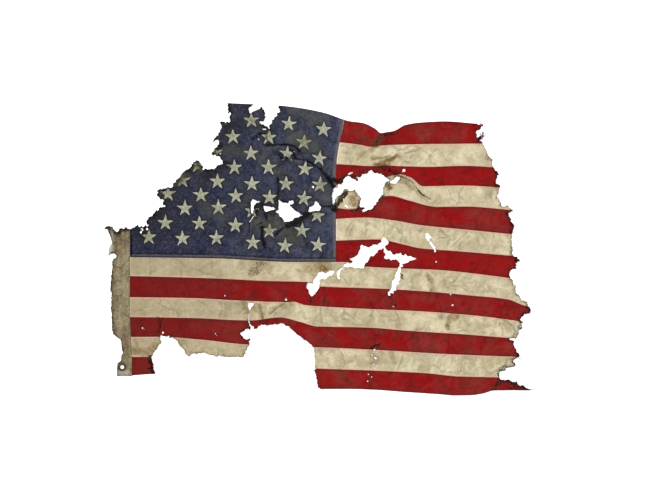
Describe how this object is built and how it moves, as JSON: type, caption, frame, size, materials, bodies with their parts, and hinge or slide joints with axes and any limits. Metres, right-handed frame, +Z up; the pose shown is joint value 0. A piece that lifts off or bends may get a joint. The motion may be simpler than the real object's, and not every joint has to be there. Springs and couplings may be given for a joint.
{
  "type": "tattered flag",
  "caption": "Torn and burnt cloth flag with red and white stripes, a blue canton with stars, a canvas heading and one eyelet ring, laid flat.",
  "frame": {"origin": "middle of the bounding box of what is left of the flag, on the surface that it lies on", "axes": "+X from the hoist to the fly, +Y from the foot to the top, +Z up, out of the face that shows"},
  "size_m": [1.4944, 1.0235, 0.0119],
  "materials": {
    "canvas": "soiled canvas tape",
    "brass": "sooty and tarnished",
    "blue_bunting": "faded plain weave",
    "red_bunting": "faded plain weave",
    "white_bunting": "aged and stained plain weave",
    "star_cloth": "aged sewn-on cloth",
    "sewing_thread": "worn thread and yarn ends"
  },
  "bodies": {
    "root": {"heading": "canvas", "grommet": "brass", "canton": "blue_bunting", "stripe_01_red": "red_bunting", "stripe_02_white": "white_bunting", "stripe_03_red": "red_bunting", "stripe_04_white_a": "white_bunting", "stripe_04_white_b": "white_bunting", "stripe_05_red": "red_bunting", "stripe_06_white": "white_bunting", "stripe_07_red_a": "red_bunting", "stripe_07_red_b": "red_bunting", "stripe_07_red_c": "red_bunting", "stripe_08_white_a": "white_bunting", "stripe_08_white_b": "white_bunting", "stripe_09_red": "red_bunting", "stripe_10_white": "white_bunting", "stripe_11_red_a": "red_bunting", "stripe_11_red_b": "red_bunting", "stripe_12_white_a": "white_bunting", "stripe_12_white_b": "white_bunting", "stripe_12_white_c": "white_bunting", "stripe_13_red_a": "red_bunting", "stripe_13_red_b": "red_bunting"}
  },
  "joints": []
}
